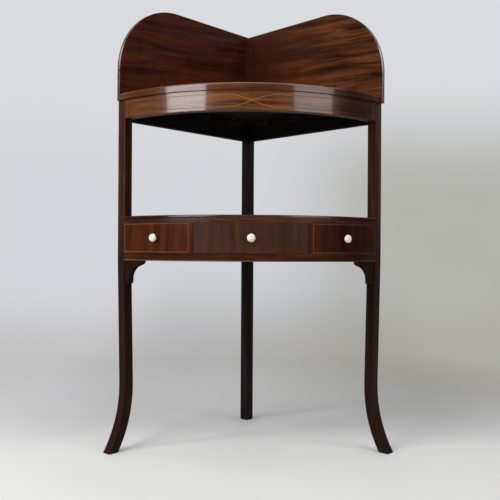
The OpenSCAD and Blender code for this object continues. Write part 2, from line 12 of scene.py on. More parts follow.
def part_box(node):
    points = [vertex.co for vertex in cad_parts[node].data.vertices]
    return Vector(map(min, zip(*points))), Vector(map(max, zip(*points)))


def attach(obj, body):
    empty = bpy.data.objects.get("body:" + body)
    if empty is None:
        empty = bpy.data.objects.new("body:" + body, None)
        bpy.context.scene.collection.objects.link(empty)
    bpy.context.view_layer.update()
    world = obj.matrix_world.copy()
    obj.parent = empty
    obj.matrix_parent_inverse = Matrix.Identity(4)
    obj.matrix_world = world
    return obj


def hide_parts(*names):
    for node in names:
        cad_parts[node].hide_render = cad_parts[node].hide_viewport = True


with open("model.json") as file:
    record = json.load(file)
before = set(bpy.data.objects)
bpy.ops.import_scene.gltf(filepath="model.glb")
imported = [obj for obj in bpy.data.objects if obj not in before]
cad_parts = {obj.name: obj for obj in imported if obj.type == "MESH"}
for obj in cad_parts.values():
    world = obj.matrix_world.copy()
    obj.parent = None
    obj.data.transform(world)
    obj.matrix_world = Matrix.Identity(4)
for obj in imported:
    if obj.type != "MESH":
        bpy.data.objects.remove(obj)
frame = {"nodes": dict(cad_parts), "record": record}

bl_info = {
    "name": "Corner washstand looks",
    "version": (1, 0, 0),
    "blender": (4, 5, 0),
    "location": "3D View > Sidebar > Washstand",
    "description": "Dresses the corner washstand in polished mahogany, boxwood, bone and marble",
    "category": "Object",
}

NODES = frame["nodes"]
BODY_OF = {
    node: body
    for body, nodes in frame["record"]["behaviour"]["bodies"].items()
    for node in nodes
}
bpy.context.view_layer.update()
SIDES = ("left", "right")

# Two of the frame's axes by number, and the way down.
X, Z = 0, 2
DOWN = Vector((0, 0, -1))

# The two walls of the room meet behind the back leg, and the bow is struck from that line.
CORNER_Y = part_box("splashback_left")[1].y
CORNER = Vector((0, CORNER_Y, 0))
BOW_RADIUS = CORNER_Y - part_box("frieze_front")[0].y

# Each wall's own directions: along it from the corner, and in from it towards the stand.
WALLS = {
    "left": (Vector((-1, -1, 0)).normalized(), Vector((1, -1, 0)).normalized()),
    "right": (Vector((1, -1, 0)).normalized(), Vector((-1, -1, 0)).normalized()),
}


# --- sizes, colours and studio ---------------------------------------------------------------


def length(name, description, default):
    return bpy.props.FloatProperty(
        name=name, description=description, default=default, min=0, precision=5, unit="LENGTH"
    )


def amount(name, description, default, top=1.0):
    return bpy.props.FloatProperty(
        name=name, description=description, default=default, min=0, max=top
    )


def angle(name, description, degrees):
    return bpy.props.FloatProperty(
        name=name, description=description, default=math.radians(degrees), precision=4,
        subtype="ANGLE",
    )


def colour(name, description, red, green, blue):
    return bpy.props.FloatVectorProperty(
        name=name, description=description, default=(red, green, blue, 1), size=4, min=0, max=1,
        subtype="COLOR",
    )


class WashstandSizes(bpy.types.PropertyGroup):
    arris: length("Eased arris", "How far a sharp arris is rounded by hand and use", 0.0008)
    fine_arris: length("Fine arris", "How far the arris of a thin board is rounded", 0.0004)
    inlay_proud: length("Inlay stands proud", "How far an inlaid line stands out of the bow", 0.00015)
    splash_arris: length("Splashback arris", "How far the splashback's long edge is rounded", 0.0021)
    fillet_slope: length("Fillet slope", "How far the top of the fillet slopes down", 0.0045)
    nail_head: length("Nail head", "Width of a cut nail's head", 0.0045)
    screw_head: length("Screw head", "Width of a countersunk screw's head", 0.0075)
    screw_slot: length("Screw slot", "Width of the slot across a screw's head", 0.0011)


class WashstandColours(bpy.types.PropertyGroup):
    heart: colour("Heart streak", "Darkest streaks of the mahogany", 0.0140, 0.0042, 0.0021)
    mahogany: colour("Mahogany", "Main tone of the polished mahogany", 0.0410, 0.0112, 0.0042)
    flame: colour("Flame", "Lightest orange streaks of the mahogany", 0.1350, 0.0410, 0.0120)
    quiet_board: colour("Left splashback", "Main tone of the left splashback", 0.0370, 0.0090, 0.0031)
    lively_board: colour("Right splashback", "Main tone of the right one", 0.0470, 0.0145, 0.0050)
    # Painted shade: the darker, redder tone in the angle of the splashbacks.
    red_shade: colour("Red shade", "Mahogany in the angle of the splashbacks", 0.0290, 0.0072, 0.0028)
    case_front: colour("Case front", "Dummy fronts and their muntins", 0.0500, 0.0122, 0.0036)
    leg_heart: colour("Leg streak", "Darkest streaks of the legs", 0.0085, 0.0030, 0.0019)
    leg: colour("Leg", "Main tone of the legs and brackets", 0.0310, 0.0094, 0.0044)
    leg_flame: colour("Leg flame", "Lightest streaks of the legs", 0.0700, 0.0240, 0.0100)
    frieze_heart: colour("Frieze streak", "Darkest streaks of the faded frieze", 0.0420, 0.0130, 0.0052)
    frieze: colour("Frieze", "Main tone of the faded frieze", 0.1050, 0.0360, 0.0120)
    frieze_flame: colour("Frieze flame", "Lightest streaks of the faded frieze", 0.1900, 0.0720, 0.0240)
    # Lighter arrises: wear, with a painted sheen where rounded edges catch the light.
    worn: colour("Worn arris", "Where polish is rubbed from an arris", 0.110, 0.046, 0.0210)
    # Stain, darkened further by a painted shade: the back leg and the boards at the back stand in the shade
    # of the corner.
    stained: colour("Stained wood", "Back leg and wall rails, stained dark", 0.0080, 0.0046, 0.0036)
    underside: colour("Underside", "Unpolished wood under the top", 0.0070, 0.0034, 0.0024)
    deal: colour("Deal", "Aged softwood of the case's hidden boards", 0.095, 0.060, 0.034)
    block: colour("Glue block", "Dirty softwood of the blocks under the top", 0.0150, 0.0090, 0.0062)
    lining: colour("Drawer lining", "Aged wood of the drawer's sides", 0.042, 0.0215, 0.0140)
    drawer_front: colour("Drawer front", "Thinly polished drawer front", 0.047, 0.0175, 0.0080)
    boxwood: colour("Boxwood", "Inlaid lines, mellowed by polish", 0.2700, 0.1220, 0.0400)
    dull_boxwood: colour("Dull boxwood", "Lines and bead of the case, darkened", 0.1200, 0.0520, 0.0220)
    frieze_line: colour("Frieze line end", "Boxwood towards the ends of the frieze", 0.0900, 0.0360, 0.0150)
    leg_line: colour("Leg line", "Darkened boxwood on the arris of a leg", 0.0720, 0.0330, 0.0200)
    bone: colour("Bone", "Turned bone of the knobs", 0.800, 0.735, 0.650)
    bone_band: colour("Bone band", "Duller bands of growth in the bone", 0.66, 0.56, 0.44)
    bone_fleck: colour("Bone fleck", "Pores and shakes in the bone", 0.165, 0.098, 0.052)
    marble: colour("Marble", "White ground of the slab", 0.720, 0.705, 0.680)
    crystal: colour("Marble crystal", "Bright grains of the slab", 0.86, 0.86, 0.85)
    vein: colour("Marble vein", "Grey veins of the slab", 0.225, 0.235, 0.250)
    iron: colour("Iron", "Nail and screw heads", 0.060, 0.046, 0.038)
    rust: colour("Rust", "Old rust on the heads", 0.11, 0.042, 0.018)
    # The paper's tones carry painted light and shade: paler in front and high on the backdrop, dimmer to
    # the right and on the sweep, and a painted shade behind the stand.
    floor: colour("Floor", "Paper floor in front of the stand", 0.600, 0.600, 0.572)
    sweep: colour("Sweep", "Paper floor behind the stand", 0.510, 0.506, 0.502)
    dim_sweep: colour("Dim sweep", "The same on the right, which gets less light", 0.410, 0.401, 0.352)
    stand_shade: colour("Stand shade", "What the paper behind the stand is dimmed by", 0.850, 0.850, 0.850)
    backdrop: colour("Backdrop", "Lower part of the backdrop", 0.660, 0.665, 0.700)
    dim_backdrop: colour("Dim backdrop", "The same on the right", 0.440, 0.446, 0.413)
    top_backdrop: colour("Upper backdrop", "Upper part of the backdrop", 0.695, 0.705, 0.735)
    mottle: colour("Paper mottle", "What the paper is mottled with", 1, 1, 1)
    flat: colour("Dark flat", "Screen that only polish sees", 0.02, 0.02, 0.02)
    daylight: colour("Daylight", "Light of the room round the paper", 0.97, 0.98, 1.0)


class WashstandStudio(bpy.types.PropertyGroup):
    lens: bpy.props.FloatProperty(
        name="Lens", description="Focal length on a 36 mm wide frame", default=49.24, unit="CAMERA"
    )
    camera_place: bpy.props.FloatVectorProperty(
        name="Camera place", description="Where the camera stands, from the room's corner", size=3,
        unit="LENGTH", default=(-0.0349, -1.8753, 0.4570),
    )
    yaw: angle("Yaw", "How far the camera looks to the right", 1.289)
    pitch: angle("Pitch", "How far the camera looks down", -0.040)
    roll: angle("Roll", "How far the camera leans over its right side", -0.332)
    lamp_bearing: angle("Lamp bearing", "Each softbox's bearing from straight in front", 42.2)
    lamp_rise: angle("Lamp rise", "Height angle of each softbox", 28)
    lamp_reach: length("Lamp reach", "From the stand to each softbox", 2.3)
    lamp_wide: length("Softbox width", "Width of each softbox", 1.06)
    lamp_tall: length("Softbox height", "Height of each softbox", 1.85)
    left_watts: amount("Left softbox", "Power of the left softbox in watts", 43, 400)
    right_watts: amount("Right softbox", "Power of the right softbox in watts", 16.8, 400)
    side_watts: amount("Side softboxes", "Power of each softbox beside the stand in watts", 9, 400)
    key_bearing: angle("Key bearing", "Each small lamp's bearing from straight in front", 66)
    key_rise: angle("Key rise", "Height angle of each small lamp", 34)
    key_size: length("Key size", "Width and height of each small lamp", 0.30)
    left_key: amount("Left key", "Power of the small lamp on the left in watts", 14, 400)
    right_key: amount("Right key", "Power of the small lamp on the right in watts", 7.5, 400)
    top_watts: amount("Overhead softbox", "Power of the overhead softbox in watts", 21, 400)
    room: amount("Room light", "Soft light from the rest of the room", 0.12)
    seen_room: amount("Seen room", "How pale the room beyond the paper looks", 0.66)


# --- finishes --------------------------------------------------------------------------------

# How wood is finished: its own roughness and gloss, its coat of polish and that coat's roughness.
Polish = namedtuple("Polish", "rough gloss varnish varnish_rough")
GLEAMING = Polish(0.36, 0.05, 1.0, 0.03)
POLISHED = Polish(0.24, 0.18, 0.95, 0.09)
SOFTENED = Polish(0.30, 0.10, 1.0, 0.10)
INLAID = Polish(0.32, 0.20, 0.18, 0.14)
CLOUDED = Polish(0.34, 0.14, 1.0, 0.18)
RUBBED = Polish(0.36, 0.05, 0.04, 0.17)
FLAT = Polish(0.38, 0.03, 0.02, 0.20)
WORN_DULL = Polish(0.42, 0.05, 0.05, 0.22)
THIN = Polish(0.50, 0.10, 0.02, 0.25)
BARE = Polish(0.72, 0.14, 0.0, 0.30)

# A part of a board painted darker, a painted shade where less light falls: an axis of the stand, the
# place along it where the shade begins and the one where it is full, its tone and its share.
Shade = namedtuple("Shade", "axis begins full tone share")

# Figures of wood: how long they are with the grain and how wide across it, in metres.
RIBBON = (0.34, 0.021)
DRIFT = (0.26, 0.07)
STREAK = (0.110, 0.0042)
FIBRE = (0.030, 0.0009)
PORE = (0.0060, 0.00034)
MOTTLE = (0.035, 0.060)
RUBBING = (0.045, 0.018)
WAVE = (0.110, 0.034)

# How far the grain wanders, and how deep its waves, fibres and pores are, in metres.
DRIFT_REACH = 0.030
WAVE_DEPTH = 0.00016
FIBRE_DEPTH = 0.000012
PORE_DEPTH = 0.000022

# Each seed cuts its board this much further into the same figured wood, in metres.
SEED_STEP = (1.37, 0.71, 0.53)

# The upward part of a face's normal at which it begins to count as level, and at which it does.
LEVEL = (0.55, 0.90)


class Signal:
    """A value inside a finish. Arithmetic written in Python adds the Math nodes for it."""

    def __init__(self, finish, socket):
        self.finish = finish
        self.socket = socket

    def _math(self, operation, first, second):
        return self.finish.node("ShaderNodeMath", {"operation": operation}, {0: first, 1: second})

    def __add__(self, other):
        return self._math("ADD", self, other)

    def __radd__(self, other):
        return self._math("ADD", other, self)

    def __sub__(self, other):
        return self._math("SUBTRACT", self, other)

    def __rsub__(self, other):
        return self._math("SUBTRACT", other, self)

    def __mul__(self, other):
        return self._math("MULTIPLY", self, other)

    def __rmul__(self, other):
        return self._math("MULTIPLY", other, self)

    def __pow__(self, other):
        return self._math("POWER", self, other)

    def __abs__(self):
        return self._math("ABSOLUTE", self, 0)


class Finish:
    """A material or a world in the making: every node comes from node(), and close() ends it."""

    # How to turn a board's grain to lie along x, as turns about x, y and z.
    TURNS = {
        "bow": (0, 0, 0),
        "across": (0, 0, 0),
        "deep": (0, 0, math.radians(-90)),
        "up": (0, math.radians(90), 0),
        "left": (0, 0, math.radians(135)),
        "right": (0, 0, math.radians(45)),
    }

    def __init__(self, name, kind="materials"):
        owners = getattr(bpy.data, kind)
        old = owners.get(name)
        if old:
            owners.remove(old)
        self.made = owners.new(name)
        self.made.use_nodes = True
        self.tree = self.made.node_tree
        self.tree.nodes.clear()

    def node(self, kind, settings=None, sockets=None, output=0):
        """Adds a node and returns one of its outputs, if it has any."""
        made = self.tree.nodes.new(kind)
        for setting, value in (settings or {}).items():
            if setting == "stops":
                for at, tone in value[2:]:
                    made.color_ramp.elements.new(at)
                for stop, (at, tone) in zip(made.color_ramp.elements, value):
                    stop.position = at
                    stop.color = tone
            else:
                setattr(made, setting, value)
        for socket, value in (sockets or {}).items():
            if isinstance(value, Signal):
                self.tree.links.new(value.socket, made.inputs[socket])
            else:
                made.inputs[socket].default_value = value
        return Signal(self, made.outputs[output]) if made.outputs else None

    def mix(self, share, first, second, blend="MIX"):
        """Two colours mixed. The share is 0 for the first and 1 for the second."""
        return self.node(
            "ShaderNodeMix",
            {"data_type": "RGBA", "blend_type": blend, "clamp_factor": True},
            {0: share, 6: first, 7: second},
            output=2,
        )

    def between(self, value, low, high):
        """0 below low and 1 above high, with a soft step between them."""
        return self.node(
            "ShaderNodeMapRange",
            {"interpolation_type": "SMOOTHSTEP"},
            {"Value": value, "From Min": low, "From Max": high},
        )

    def split(self, place):
        parts = self.node("ShaderNodeSeparateXYZ", None, {0: place}).socket.node
        return tuple(Signal(self, socket) for socket in parts.outputs)

    def join(self, x, y, z):
        return self.node("ShaderNodeCombineXYZ", None, {0: x, 1: y, 2: z})

    def place(self):
        """Where a point of the surface lies in the stand's frame, in metres."""
        return self.node("ShaderNodeTexCoord", output=3)

    def from_middle(self):
        """How far to the left or right of the stand's middle a point lies."""
        return abs(self.split(self.place())[X])

    def facing(self, hand):
        """1 on a face that looks up, or with a hand of -1 down, and 0 on the others."""
        up = self.split(self.node("ShaderNodeNewGeometry", output=1))[Z]
        return self.between(up * hand, *LEVEL)

    def mark(self, name):
        """1 on the faces that carry a mark of that name, and 0 on the others."""
        return self.node("ShaderNodeAttribute", {"attribute_name": name}, output=2)

    def seen(self):
        """1 for what the camera, polish and glass see, and 0 for light that falls on the stand."""
        path = self.node("ShaderNodeLightPath").socket.node.outputs
        camera, polish, glass = (
            Signal(self, path[kind])
            for kind in ("Is Camera Ray", "Is Glossy Ray", "Is Transmission Ray")
        )
        return camera + polish + glass

    def clouds(self, place, figure, detail=2.0, roughness=0.5, distortion=0.0):
        """Soft noise around 0.5, in figures of that length and width in metres."""
        along, wide = figure
        counted = self.node(
            "ShaderNodeVectorMath",
            {"operation": "MULTIPLY"},
            {0: place, 1: (1 / along, 1 / wide, 1 / wide)},
        )
        return self.node(
            "ShaderNodeTexNoise",
            None,
            {
                "Vector": counted,
                "Scale": 1.0,
                "Detail": detail,
                "Roughness": roughness,
                "Distortion": distortion,
            },
        )

    def turned(self, place, turn, shift=(0, 0, 0)):
        return self.node(
            "ShaderNodeMapping",
            {"vector_type": "POINT"},
            {"Vector": place, "Location": shift, "Rotation": turn},
        )

    def grain(self, run, seed, tilt=0.0):
        """Places in metres in a board of its own: x with the grain, y and z across it."""
        place = self.place()
        if run == "bow":
            x, y, z = self.split(place)
            out = CORNER_Y - y
            bearing = self.node("ShaderNodeMath", {"operation": "ARCTAN2"}, {0: x, 1: out})
            place = self.join(bearing * BOW_RADIUS, (x * x + out * out) ** 0.5, z)
        shift = tuple(seed * step for step in SEED_STEP)
        return self.turned(self.turned(place, self.TURNS[run]), (0, tilt, 0), shift)

    def shade(self, tone, part):
        """The tone with a painted shade on one part of the board."""
        along = self.split(self.place())[part.axis]
        return self.mix(self.between(along, part.begins, part.full) * part.share, tone, part.tone)

    def bump(self, height):
        """A surface that stands this many metres proud."""
        return self.node(
            "ShaderNodeBump", None, {"Strength": 1.0, "Distance": 1.0, "Height": height}
        )

    def surface(self, **sockets):
        """The shader of a surface. A socket's name is written with _ for a space."""
        named = {name.replace("_", " "): value for name, value in sockets.items()}
        return self.node("ShaderNodeBsdfPrincipled", None, named)

    def dress(self, **sockets):
        """Closes a material of one surface."""
        return self.close(self.surface(**sockets))

    def close(self, shader, output="ShaderNodeOutputMaterial"):
        """Links the last shader to the output and returns what was made."""
        self.node(output, None, {"Surface": shader})
        return self.made


def timber(
    name, run, seed, tones, polish, ribbon=RIBBON, tilt=0.0, contrast=1.0, streak=1.0, worn=None,
    shaded_arrises=False, shades=(), ends=None, below=0.8,
):
    """A sawn and finished wood. Its tones are its dark streak, its main tone and its light streak.
    Its arrises are rubbed down to a lighter tone, wear together with a painted sheen, or else they are
    painted darker, as a painted shade, and made rougher. Ends are two distances from the middle: between
    them the varnish gives out, and then most of it is gone on top as well. A face that looks down is
    painted darker, as shade and some dirt, has no varnish, and below is how rough it is."""
    finish = Finish(name)
    place = finish.grain(run, seed, tilt)
    x, y, z = finish.split(place)
    drift = (finish.clouds(place, DRIFT, detail=1.0) - 0.5) * DRIFT_REACH
    bent = finish.join(x, y + drift, z + drift)
    ribbons = finish.clouds(bent, ribbon, detail=3.0, roughness=0.55, distortion=0.15)
    streaks = finish.clouds(bent, STREAK, detail=3.0, roughness=0.6)
    fibres = finish.clouds(bent, FIBRE, detail=2.0, roughness=0.6)
    pores = finish.between(finish.clouds(bent, PORE, detail=1.0), 0.60, 0.74)
    mottle = finish.clouds(place, MOTTLE, detail=2.0)
    rubbed = finish.clouds(place, RUBBING, detail=3.0, roughness=0.65)
    waves = finish.clouds(place, WAVE, detail=1.0)
    under = finish.facing(-1)

    tone = (
        0.5
        + (ribbons - 0.5) * (2.1 * contrast)
        + (streaks - 0.5) * (0.9 * contrast * streak)
        + (fibres - 0.5) * (0.40 * streak)
        + (mottle - 0.5) * 0.35
    )
    dark, main, light = tones
    stops = [(0.06, dark), (0.46, main), (0.94, light)]
    wood = finish.node("ShaderNodeValToRGB", {"stops": stops}, {0: tone})
    wood = finish.mix(pores * 0.55, wood, dark)
    for part in shades:
        wood = finish.shade(wood, part)

    roughness = polish.rough + (rubbed - 0.5) * 0.16 + pores * 0.12
    if shaded_arrises:
        # Painted shade along the arrises, which are also made rougher.
        arris = finish.mark("arris")
        wood = finish.mix(arris * 0.85, wood, dark)
        roughness = roughness + arris * 0.25
    elif worn is not None:
        # Lighter arrises: wear, and a painted highlight along the rounded edges.
        wear_and_glint = finish.mark("arris") * finish.between(rubbed, 0.40, 0.62) * 0.75
        wood = finish.mix(wear_and_glint, wood, worn)

    varnish = polish.varnish
    if varnish:
        varnish = varnish * (1 - finish.between(streaks, 0.50, 0.68) * 0.40)
        varnish = varnish + finish.mark("rim") * (1 - varnish)
        varnish = varnish * (1 - under)
        if ends is not None:
            varnish = varnish * (1 - finish.between(finish.from_middle(), *ends))
            varnish = varnish * (1 - finish.facing(1) * 0.75)

    height = (waves - 0.5) * WAVE_DEPTH + (fibres - 0.5) * FIBRE_DEPTH - pores * PORE_DEPTH
    return finish.dress(
        # Faces that look down are painted darker: a painted shade under the wood, with some dirt.
        Base_Color=finish.mix(under * 0.55, wood, dark),
        Roughness=roughness + under * (below - polish.rough),
        Specular_IOR_Level=polish.gloss,
        Normal=finish.bump(height),
        Coat_Weight=varnish,
        Coat_Roughness=polish.varnish_rough,
    )


def streaked(tone, down=0.45, up=1.7):
    """A dark streak and a light streak either side of one tone."""
    dark, light = ([channel * share for channel in tone[:3]] + [1] for share in (down, up))
    return dark, tone, light


def mahogany(name, run, seed, polish, **figure):
    """The polished mahogany of the shelf and of the case's rails."""
    tints = bpy.context.scene.washstand_colours
    tones = (tints.heart, tints.mahogany, tints.flame)
    return timber(name, run, seed, tones, polish, worn=tints.worn, **figure)


def leg_wood(name, run, seed, **figure):
    """The darker mahogany of the legs and brackets, with a painted shade that darkens it near the floor."""
    tints = bpy.context.scene.washstand_colours
    tones = (tints.leg_heart, tints.leg, tints.leg_flame)
    # Painted shade near the floor.
    low = Shade(Z, 0.56, 0.40, tints.leg_heart, 0.75)
    return timber(
        name, run, seed, tones, WORN_DULL, worn=tints.mahogany, shades=(low,), **figure
    )


def faded(name, run, seed, polish, left_share, **figure):
    """Lighter mahogany, as on the frieze and the moulded edge, with a painted shade at both ends, where
    less light falls. The left end is darker by that share."""
    tints = bpy.context.scene.washstand_colours
    tones = (tints.frieze_heart, tints.frieze, tints.frieze_flame)
    # Painted shade at the two ends of the bow.
    shades = (
        Shade(X, -0.14, -0.24, tints.frieze_heart, left_share),
        Shade(X, 0.14, 0.22, tints.heart, 0.85),
    )
    return timber(
        name, run, seed, tones, polish, worn=tints.worn, shades=shades, ends=(0.18, 0.225),
        below=0.6, **figure
    )


def plain_wood(name, tint, run, seed, polish=BARE, **figure):
    """One of the hidden or darkened woods, which has no strong figure."""
    tone = getattr(bpy.context.scene.washstand_colours, tint)
    return timber(name, run, seed, streaked(tone), polish, **figure)


def boxwood(name, run, seed, bright_half=0.0, dull="dull_boxwood", polish=INLAID):
    """Inlaid boxwood, dull but for a bright part this far each side of the middle, and with a painted
    shade at the right end."""
    tints = bpy.context.scene.washstand_colours
    finish = Finish(name)
    place = finish.grain(run, seed)
    fibres = finish.clouds(place, (0.020, 0.0007), detail=2.0)
    patches = finish.clouds(place, (0.045, 0.030), detail=3.0)
    bright = 1 - finish.between(
        finish.from_middle(), bright_half * 0.6, bright_half * 1.4 + 0.001
    )
    share = bright * (0.75 + (patches - 0.5) * 0.8) + (patches - 0.45) * 0.7
    wood = finish.mix(share, getattr(tints, dull), tints.boxwood)
    wood = finish.mix(finish.between(fibres, 0.52, 0.70) * 0.35, wood, tints.mahogany)
    # Painted shade at the right end of the bow.
    wood = finish.shade(wood, Shade(X, 0.14, 0.24, tints.heart, 0.70))
    return finish.dress(
        Base_Color=wood,
        Roughness=polish.rough + (patches - 0.5) * 0.2,
        Specular_IOR_Level=polish.gloss,
        Normal=finish.bump((fibres - 0.5) * 0.00002),
        Coat_Weight=polish.varnish,
        Coat_Roughness=polish.varnish_rough,
    )


def bone(name):
    """Turned bone: cream, with brown pores and fine shakes that run from front to back."""
    tints = bpy.context.scene.washstand_colours
    finish = Finish(name)
    place = finish.grain("deep", 3)
    growth = finish.clouds(place, (0.030, 0.0024), detail=3.0)
    flecks = finish.between(finish.clouds(place, (0.0030, 0.0011), detail=2.0), 0.60, 0.68)
    shakes = abs(finish.clouds(place, (0.020, 0.0060), detail=2.0, distortion=0.6) - 0.5)
    shake = 1 - finish.between(shakes, 0.004, 0.016)
    patches = finish.between(finish.clouds(place, (0.010, 0.008), detail=1.0), 0.46, 0.62)
    marks = flecks * 0.75 + shake * patches * 0.55
    ground = finish.mix((growth - 0.40) * 1.3, tints.bone, tints.bone_band)
    return finish.dress(
        Base_Color=finish.mix(marks, ground, tints.bone_fleck),
        Roughness=0.30 + (growth - 0.5) * 0.15 + marks * 0.25,
        Normal=finish.bump((growth - 0.5) * 0.00002 - marks * 0.00006),
        Coat_Weight=0.25,
        Coat_Roughness=0.12,
        Subsurface_Weight=0.08,
        Subsurface_Scale=0.002,
    )


def marble(name):
    """Polished white marble with grey clouds and thin wandering veins."""
    tints = bpy.context.scene.washstand_colours
    finish = Finish(name)
    place = finish.grain("across", 5)
    cloud = finish.clouds(place, (0.21, 0.12), detail=4.0, roughness=0.55, distortion=0.7)
    x, y, z = finish.split(place)
    drawn = finish.join(x + cloud * 0.10, y + cloud * 0.16, z)
    wide_vein = abs(finish.clouds(drawn, (0.26, 0.11), detail=3.0, distortion=0.8) - 0.5)
    thin_vein = abs(finish.clouds(drawn, (0.085, 0.050), detail=3.0, distortion=1.1) - 0.5)
    vein = (1 - finish.between(wide_vein, 0.0, 0.035)) * 0.62
    threads = (1 - finish.between(thin_vein, 0.0, 0.016)) * 0.38
    crystals = finish.clouds(place, (0.0022, 0.0022), detail=2.0)
    ground = finish.mix(finish.between(cloud, 0.42, 0.70) * 0.42, tints.marble, tints.vein)
    ground = finish.mix((crystals - 0.5) * 0.25 + 0.03, ground, tints.crystal)
    return finish.dress(
        Base_Color=finish.mix(vein + threads, ground, tints.vein),
        Roughness=0.14 + (crystals - 0.5) * 0.10 + vein * 0.08,
        Normal=finish.bump((crystals - 0.5) * 0.000006 - vein * 0.00002),
        Coat_Weight=0.20,
        Coat_Roughness=0.08,
        Subsurface_Weight=0.06,
        Subsurface_Scale=0.004,
    )


def iron(name):
    """Hand-cut nails and screws, brown with old rust."""
    tints = bpy.context.scene.washstand_colours
    finish = Finish(name)
    place = finish.grain("across", 7)
    rust = finish.clouds(place, (0.0018, 0.0018), detail=4.0, roughness=0.65)
    return finish.dress(
        Base_Color=finish.mix(finish.between(rust, 0.42, 0.62), tints.iron, tints.rust),
        Roughness=0.42 + rust * 0.35,
        Metallic=1 - finish.between(rust, 0.40, 0.60) * 0.85,
        Normal=finish.bump((rust - 0.5) * 0.00008),
    )


# --- pieces ----------------------------------------------------------------------------------

# Corners of a CAD node this close are one corner, and faces that meet this flat are one face.
SAME_CORNER = 2e-6
SAME_PLANE = math.radians(0.6)

# An arris turns by more than this, and its faces are this many times as large as its width squared.
SHARP = math.radians(35)
ROOM_TO_EASE = 30

# Faces that meet at less than this are shaded as one.
CREASE = math.radians(52)

# A cut nail's head, ring by ring: its share of the full width, and its height over the wood.
NAIL_CROWN = ((1.0, -0.0002), (1.0, 0.00025), (0.80, 0.00050), (0.35, 0.00062))
NAIL_SIDES = 8

# A screw's head: the heights of its disc, and how far each ring of its half moons is drawn in, with
# the ring's height.
SCREW_DISC = (-0.0002, 0.00012)
SCREW_MOON = ((0.0, 0.00010), (0.0, 0.00040), (0.00035, 0.00055))
SCREW_SIDES = 28


def mesh_object(name, shape, finish):
    """A shape made into an object of the scene, with its finish."""
    mesh = bpy.data.meshes.new(name)
    shape.to_mesh(mesh)
    shape.free()
    mesh.materials.append(finish)
    made = bpy.data.objects.new(name, mesh)
    bpy.context.scene.collection.objects.link(made)
    return made


def stand_in(node, ending, shape, finish):
    """A piece that stands for a CAD node, on the node's body."""
    piece = mesh_object(node + ending, shape, finish)
    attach(piece, BODY_OF[node])
    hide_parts(node)
    return piece


def solid_of(node):
    """A CAD node as one closed shape with whole flat faces."""
    mesh = NODES[node].data
    shape = bmesh.new()
    corners = [shape.verts.new(vertex.co) for vertex in mesh.vertices]
    for face in mesh.polygons:
        shape.faces.new([corners[i] for i in face.vertices])
    bmesh.ops.remove_doubles(shape, verts=shape.verts, dist=SAME_CORNER)
    bmesh.ops.dissolve_limit(shape, angle_limit=SAME_PLANE, verts=shape.verts, edges=shape.edges)
    bmesh.ops.recalc_face_normals(shape, faces=shape.faces)
    return shape


def is_arris(edge, width):
    """A sharp convex edge between two faces that are broad enough to be eased."""
    if len(edge.link_faces) != 2 or not edge.is_convex:
        return False
    narrow = min(face.calc_area() for face in edge.link_faces)
    return edge.calc_face_angle() > SHARP and narrow > ROOM_TO_EASE * width * width


def ease(node, finish, width, broad=None):
    """Stands for a CAD node with the same board, its arrises rounded by hand. Where broad says which
    way its broad face looks, its thin edges are marked as a rim but for a band along the wall."""
    shape = solid_of(node)
    if broad is not None:
        near = min(corner.co.dot(broad) for corner in shape.verts)
        at = broad * (near + 2 * width)
        geometry = shape.verts[:] + shape.edges[:] + shape.faces[:]
        bmesh.ops.bisect_plane(shape, geom=geometry, plane_co=at, plane_no=broad)
        rim = shape.faces.layers.float.new("rim")
        for face in shape.faces:
            thin = abs(face.normal.dot(broad)) < 0.5
            polished = thin and (face.calc_center_median() - at).dot(broad) > 0
            face[rim] = 1.0 if polished else 0.0
    arrises = [edge for edge in shape.edges if is_arris(edge, width)]
    eased = shape.faces.layers.float.new("arris")
    rounded = bmesh.ops.bevel(
        shape, geom=arrises, offset=width, offset_type="OFFSET", segments=2, profile=0.5,
        affect="EDGES", clamp_overlap=True,
    )
    for face in rounded["faces"]:
        face[eased] = 1.0
        if broad is not None:
            face[rim] = 0.0
    for face in shape.faces:
        face.smooth = True
    piece = stand_in(node, "_eased", shape, finish)
    piece.data.set_sharp_from_angle(angle=CREASE)
    normals = piece.modifiers.new("Broad faces stay flat", "WEIGHTED_NORMAL")
    normals.keep_sharp = True
    return piece


def inlay(node, finish, proud):
    """Stands for inlaid lines with the same lines, a little proud of the bow they are let into."""
    shape = solid_of(node)
    for corner in shape.verts:
        out = Vector((corner.co.x, corner.co.y - CORNER_Y, 0))
        corner.co += out.normalized() * proud
    stand_in(node, "_proud", shape, finish)


def coat(finish, *nodes):
    """Gives CAD nodes that are right as they are their finish."""
    for node in nodes:
        NODES[node].data.materials.clear()
        NODES[node].data.materials.append(finish)


def reach(node, way):
    """How far a CAD node reaches that way from the room's corner."""
    return max((vertex.co - CORNER).dot(way) for vertex in NODES[node].data.vertices)


def head_axes(place, facing, turn):
    """Axes for a nail or screw head that faces out of the wood, turned round its own middle."""
    out = facing.normalized()
    guide = Vector((1, 0, 0)) if abs(out.z) > 0.9 else Vector((0, 0, 1))
    side = out.cross(guide).normalized()
    axes = Matrix((side.cross(out), side, out)).transposed().to_4x4()
    return Matrix.Translation(place) @ axes @ Matrix.Rotation(turn, 4, "Z")


def arc(shape, axes, half_long, half_wide, height, steps, start=0.0, sweep=2 * math.pi):
    """Corners on an oval, or on part of one, at a height over the wood."""
    closed = sweep == 2 * math.pi
    count = steps if closed else steps + 1
    turns = [start + sweep * step / steps for step in range(count)]
    return [
        shape.verts.new(axes @ Vector((half_long * math.cos(t), half_wide * math.sin(t), height)))
        for t in turns
    ]


def wall_between(shape, low, high):
    for a, b, c, d in zip(low, low[1:] + low[:1], high[1:] + high[:1], high):
        shape.faces.new((a, b, c, d))


def crown(shape, rings):
    """Closes a head over its rings."""
    for low, high in zip(rings, rings[1:]):
        wall_between(shape, low, high)
    shape.faces.new(rings[-1])


